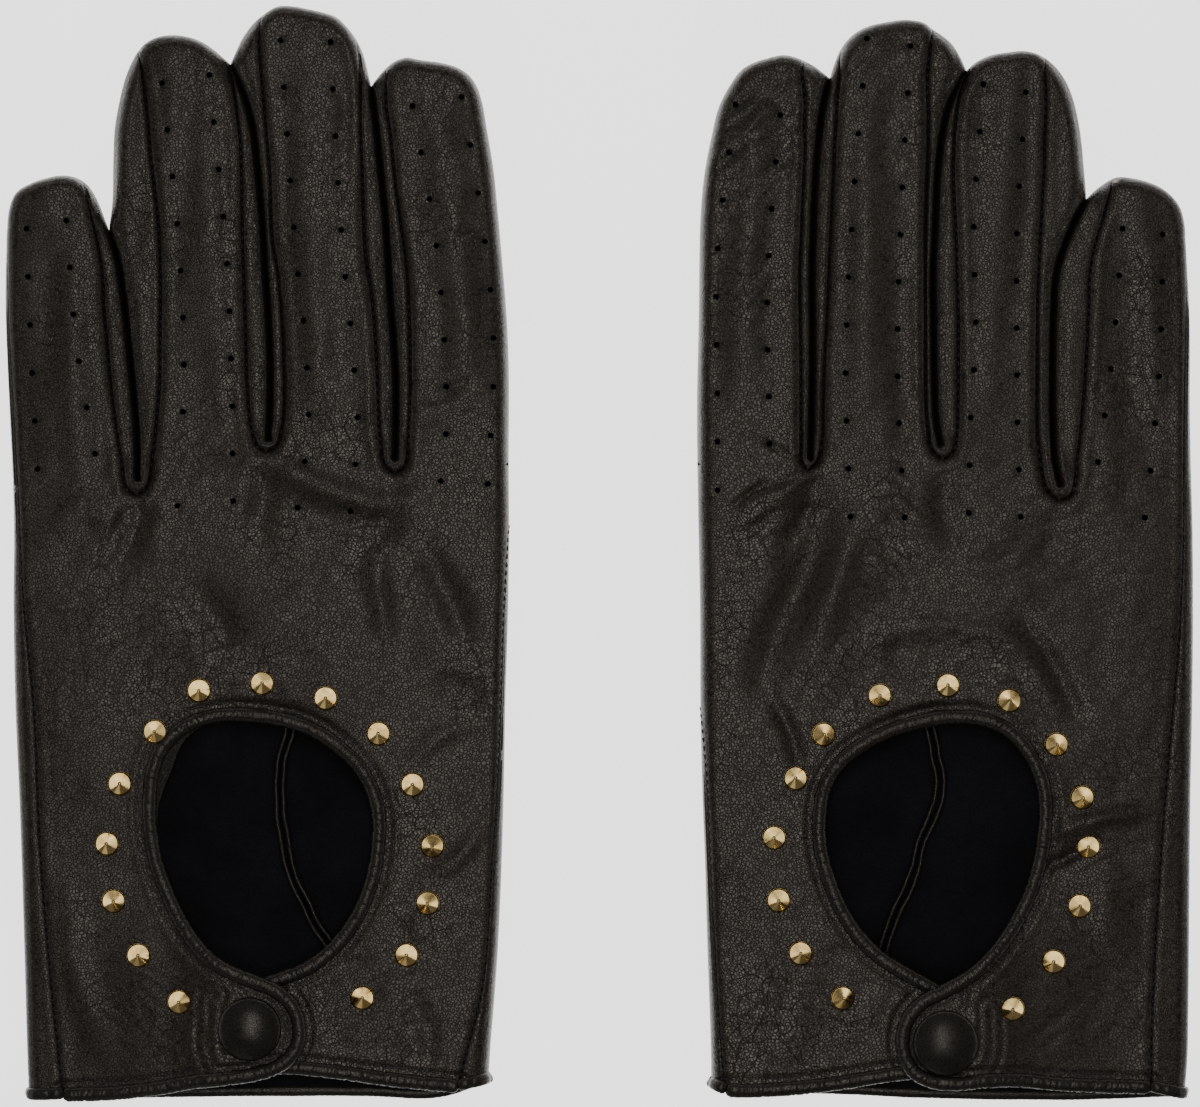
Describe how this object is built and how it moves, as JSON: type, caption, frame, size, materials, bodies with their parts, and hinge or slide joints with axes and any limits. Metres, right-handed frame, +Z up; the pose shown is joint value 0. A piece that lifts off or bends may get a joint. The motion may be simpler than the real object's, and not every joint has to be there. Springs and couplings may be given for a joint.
{
  "type": "leather driving gloves",
  "caption": "Pair of leather driving gloves with a bound keyhole opening, cone studs and a snap tab at the wrist.",
  "frame": {"origin": "centre of the pair's footprint, on the surface the gloves lie on", "axes": "+X across the pair, from the left-hand glove to the right-hand glove; +Y to the fingertips; +Z up, out of the backs of the hands"},
  "size_m": [0.2526, 0.231, 0.0176],
  "materials": {
    "glove_leather": "black nappa, fine pebble grain, semi-matt",
    "binding_leather": "thin black leather, folded smooth",
    "cap_leather": "thin black leather stretched over the snap cap",
    "suede_side": "flesh side, matt and fibrous",
    "stud_brass": "bright gold-coloured plating",
    "snap_metal": "plain brass",
    "thread": "fine black sewing thread"
  },
  "bodies": {
    "left_hand": {"left_back_panel": "glove_leather", "left_palm_panel": "glove_leather", "left_keyhole_binding": "binding_leather", "left_keyhole_facing": "suede_side", "left_wrist_binding": "binding_leather", "left_palm_hem": "binding_leather", "left_snap_stud": "snap_metal", "left_snap_post": "snap_metal", "left_cone_studs": "stud_brass", "left_stud_backs": "snap_metal"},
    "left_pinky_finger": {"left_pinky_back": "glove_leather", "left_pinky_palm": "glove_leather", "left_pinky_fourchettes": "glove_leather"},
    "left_ring_finger": {"left_ring_back": "glove_leather", "left_ring_palm": "glove_leather", "left_ring_fourchettes": "glove_leather"},
    "left_middle_finger": {"left_middle_back": "glove_leather", "left_middle_palm": "glove_leather", "left_middle_fourchettes": "glove_leather"},
    "left_index_finger": {"left_index_back": "glove_leather", "left_index_palm": "glove_leather", "left_index_fourchettes": "glove_leather"},
    "left_thumb": {"left_thumb_front": "glove_leather", "left_thumb_back": "glove_leather"},
    "left_tab": {"left_strap_tab": "glove_leather", "left_tab_binding": "binding_leather", "left_snap_cap": "cap_leather", "left_snap_socket": "snap_metal"},
    "right_hand": {"right_back_panel": "glove_leather", "right_palm_panel": "glove_leather", "right_keyhole_binding": "binding_leather", "right_keyhole_facing": "suede_side", "right_wrist_binding": "binding_leather", "right_palm_hem": "binding_leather", "right_snap_stud": "snap_metal", "right_snap_post": "snap_metal", "right_cone_studs": "stud_brass", "right_stud_backs": "snap_metal"},
    "right_pinky_finger": {"right_pinky_back": "glove_leather", "right_pinky_palm": "glove_leather", "right_pinky_fourchettes": "glove_leather"},
    "right_ring_finger": {"right_ring_back": "glove_leather", "right_ring_palm": "glove_leather", "right_ring_fourchettes": "glove_leather"},
    "right_middle_finger": {"right_middle_back": "glove_leather", "right_middle_palm": "glove_leather", "right_middle_fourchettes": "glove_leather"},
    "right_index_finger": {"right_index_back": "glove_leather", "right_index_palm": "glove_leather", "right_index_fourchettes": "glove_leather"},
    "right_thumb": {"right_thumb_front": "glove_leather", "right_thumb_back": "glove_leather"},
    "right_tab": {"right_strap_tab": "glove_leather", "right_tab_binding": "binding_leather", "right_snap_cap": "cap_leather", "right_snap_socket": "snap_metal"}
  },
  "joints": [
    {"name": "left_pinky_flex", "type": "hinge", "parent": "left_hand", "child": "left_pinky_finger", "pos_m": [-0.1113, 0.0135, 0], "axis": [-1, 0, 0], "range_deg": [-20, 80]},
    {"name": "left_ring_flex", "type": "hinge", "parent": "left_hand", "child": "left_ring_finger", "pos_m": [-0.08385, 0.0223, 0], "axis": [-1, 0, 0], "range_deg": [-20, 80]},
    {"name": "left_middle_flex", "type": "hinge", "parent": "left_hand", "child": "left_middle_finger", "pos_m": [-0.0567, 0.0223, 0], "axis": [-1, 0, 0], "range_deg": [-20, 80]},
    {"name": "left_index_flex", "type": "hinge", "parent": "left_hand", "child": "left_index_finger", "pos_m": [-0.03175, 0.0186, 0], "axis": [-1, 0, 0], "range_deg": [-20, 80]},
    {"name": "left_thumb_swing", "type": "hinge", "parent": "left_hand", "child": "left_thumb", "pos_m": [-0.02234, -0.046, 0.0032], "axis": [0, -1, 0], "range_deg": [0, 100]},
    {"name": "left_tab_fold", "type": "hinge", "parent": "left_hand", "child": "left_tab", "pos_m": [-0.0841, -0.09915, 0.0125], "axis": [0, -1, 0], "range_deg": [0, 100]},
    {"name": "right_pinky_flex", "type": "hinge", "parent": "right_hand", "child": "right_pinky_finger", "pos_m": [0.1113, 0.0135, 0], "axis": [-1, 0, 0], "range_deg": [-20, 80]},
    {"name": "right_ring_flex", "type": "hinge", "parent": "right_hand", "child": "right_ring_finger", "pos_m": [0.08385, 0.0223, 0], "axis": [-1, 0, 0], "range_deg": [-20, 80]},
    {"name": "right_middle_flex", "type": "hinge", "parent": "right_hand", "child": "right_middle_finger", "pos_m": [0.0567, 0.0223, 0], "axis": [-1, 0, 0], "range_deg": [-20, 80]},
    {"name": "right_index_flex", "type": "hinge", "parent": "right_hand", "child": "right_index_finger", "pos_m": [0.03175, 0.0186, 0], "axis": [-1, 0, 0], "range_deg": [-20, 80]},
    {"name": "right_thumb_swing", "type": "hinge", "parent": "right_hand", "child": "right_thumb", "pos_m": [0.02234, -0.046, 0.0032], "axis": [0, 1, 0], "range_deg": [0, 100]},
    {"name": "right_tab_fold", "type": "hinge", "parent": "right_hand", "child": "right_tab", "pos_m": [0.0841, -0.09915, 0.0125], "axis": [0, 1, 0], "range_deg": [0, 100]},
    {"name": "pair_spread", "type": "slide", "parent": "left_hand", "child": "right_hand", "axis": [1, 0, 0], "range_m": [0, 0.15]}
  ]
}
